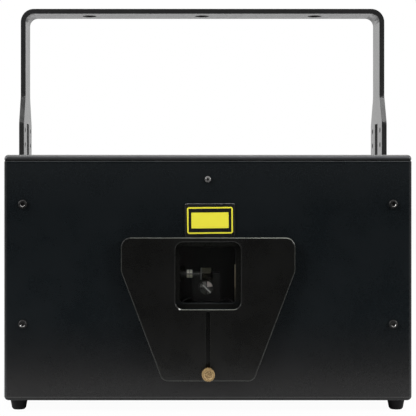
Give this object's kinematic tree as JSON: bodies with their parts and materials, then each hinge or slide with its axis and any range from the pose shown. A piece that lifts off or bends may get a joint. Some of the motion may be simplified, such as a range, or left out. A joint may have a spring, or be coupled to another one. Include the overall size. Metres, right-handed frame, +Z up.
{
  "type": "laser show projector",
  "caption": "Boxed laser show projector with a beam window, a masking shutter, a two-mirror scanner and a slotted U bracket that tilts and slides for hanging or standing.",
  "frame": {"origin": "on the floor the feet stand on, under the bracket's tilt axis, which is the middle of the whole part's plan", "axes": "+X to the right seen from the front, -Y out of the beam window, +Z up"},
  "size_m": [0.3612, 0.391, 0.339],
  "materials": {
    "black_powder_coat": "fine black powder coat",
    "black_front": "satin black paint",
    "black_anodised": "black anodised aluminium",
    "bracket_black": "semi-gloss black powder coat",
    "black_oxide": "blackened screw steel",
    "zinc_steel": "zinc plated steel",
    "brass": "turned and knurled brass",
    "rubber": "black rubber",
    "fibre": "dark friction fibre",
    "clear_glass": "coated optical glass",
    "first_surface_mirror": "first-surface mirror",
    "black_plastic": "moulded black plastic",
    "gloss_switch": "glossy black switch plastic",
    "indicator": "red lamp lens in a bezel",
    "bare_aluminium": "milled aluminium",
    "nickel": "nickel plated shell",
    "circuit_board": "green solder mask"
  },
  "bodies": {
    "housing": {"chassis_tray": "black_powder_coat", "top_cover": "black_powder_coat", "top_cover_screws": "black_oxide", "front_panel": "black_front", "front_panel_screws": "black_oxide", "rear_panel": "black_powder_coat", "rear_panel_screws": "black_oxide", "rubber_feet": "rubber", "foot_screws": "zinc_steel", "aperture_cover_plate": "black_anodised", "aperture_plate_screws": "zinc_steel", "window_gasket": "rubber", "window_glass": "clear_glass", "window_retainer": "black_anodised", "pivot_nut_plates": "zinc_steel", "friction_washers": "fibre", "safety_eye": "bracket_black", "fan_frames": "black_plastic", "fan_guards": "nickel", "fan_screws": "black_oxide", "power_inlet": "black_plastic", "rocker_frame": "black_plastic", "key_switch_barrel": "nickel", "dmx_connectors": "black_plastic", "interlock_connector": "black_plastic", "signal_connectors": "nickel", "emission_indicator": "indicator", "optical_base_plate": "bare_aluminium", "isolation_mounts": "rubber", "red_laser_module": "bare_aluminium", "green_laser_module": "bare_aluminium", "blue_laser_module": "bare_aluminium", "beam_mirrors": "first_surface_mirror", "mirror_mounts": "black_anodised", "scanner_block": "black_anodised", "pan_galvo_motor": "bare_aluminium", "tilt_galvo_motor": "bare_aluminium", "beam_baffle": "brass", "safety_shutter_solenoid": "zinc_steel", "power_supply": "bare_aluminium", "laser_driver_board": "circuit_board", "control_board": "circuit_board", "galvo_driver_board": "circuit_board", "board_standoffs": "nickel"},
    "slot_guides": {"left_slot_guide": "zinc_steel", "right_slot_guide": "zinc_steel"},
    "bracket": {"mounting_bracket": "bracket_black"},
    "left_knob": {"left_lock_knob": "black_plastic"},
    "right_knob": {"right_lock_knob": "black_plastic"},
    "shutter": {"aperture_shutter": "black_anodised"},
    "thumb_screw": {"brass_thumb_screw": "brass"},
    "pan_rotor": {"pan_mirror_shaft": "zinc_steel", "pan_mirror": "first_surface_mirror"},
    "tilt_rotor": {"tilt_mirror_shaft": "zinc_steel", "tilt_mirror": "first_surface_mirror"},
    "left_fan": {"left_fan_rotor": "black_plastic"},
    "right_fan": {"right_fan_rotor": "black_plastic"},
    "key_plug": {"key": "nickel"},
    "switch_rocker": {"rocker": "gloss_switch"},
    "beam_flag": {"shutter_flag": "black_anodised"}
  },
  "joints": [
    {"name": "bracket_tilt", "type": "hinge", "parent": "housing", "child": "slot_guides", "pos_m": [0, 0, 0.16], "axis": [1, 0, 0], "range_deg": [-60, 60]},
    {"name": "bracket_slide", "type": "slide", "parent": "slot_guides", "child": "bracket", "axis": [0, 0, 1], "range_m": [-0.05, 0]},
    {"name": "left_knob_turn", "type": "hinge", "parent": "housing", "child": "left_knob", "pos_m": [-0.17, 0, 0.16], "axis": [-1, 0, 0], "range_deg": [0, 270]},
    {"name": "right_knob_turn", "type": "hinge", "parent": "housing", "child": "right_knob", "pos_m": [0.17, 0, 0.16], "axis": [1, 0, 0], "range_deg": [0, 270]},
    {"name": "shutter_slide", "type": "slide", "parent": "housing", "child": "shutter", "axis": [0, 0, 1], "range_m": [0, 0.0469]},
    {"name": "thumb_screw_turn", "type": "hinge", "parent": "shutter", "child": "thumb_screw", "pos_m": [0, -0.19, 0.0303], "axis": [0, -1, 0], "range_deg": [0, 270]},
    {"name": "pan_scan", "type": "hinge", "parent": "housing", "child": "pan_rotor", "pos_m": [0, -0.145, 0.0933], "axis": [0, 1, 0], "range_deg": [-12, 12]},
    {"name": "tilt_scan", "type": "hinge", "parent": "housing", "child": "tilt_rotor", "pos_m": [0, -0.145, 0.1053], "axis": [1, 0, 0], "range_deg": [-12, 12]},
    {"name": "left_fan_spin", "type": "hinge", "parent": "housing", "child": "left_fan", "pos_m": [-0.092, 0.156, 0.14], "axis": [0, 1, 0], "continuous": true},
    {"name": "right_fan_spin", "type": "hinge", "parent": "housing", "child": "right_fan", "pos_m": [0.092, 0.156, 0.14], "axis": [0, 1, 0], "continuous": true},
    {"name": "key_turn", "type": "hinge", "parent": "housing", "child": "key_plug", "pos_m": [0.06, 0.17, 0.045], "axis": [0, -1, 0], "range_deg": [0, 90]},
    {"name": "rocker_tip", "type": "hinge", "parent": "housing", "child": "switch_rocker", "pos_m": [0.086, 0.167, 0.045], "axis": [-1, 0, 0], "range_deg": [0, 20]},
    {"name": "beam_flag_swing", "type": "hinge", "parent": "housing", "child": "beam_flag", "pos_m": [0.037, -0.145, 0.1133], "axis": [0, -1, 0], "range_deg": [0, 25], "stiffness_Nm_per_rad": 0.01}
  ]
}
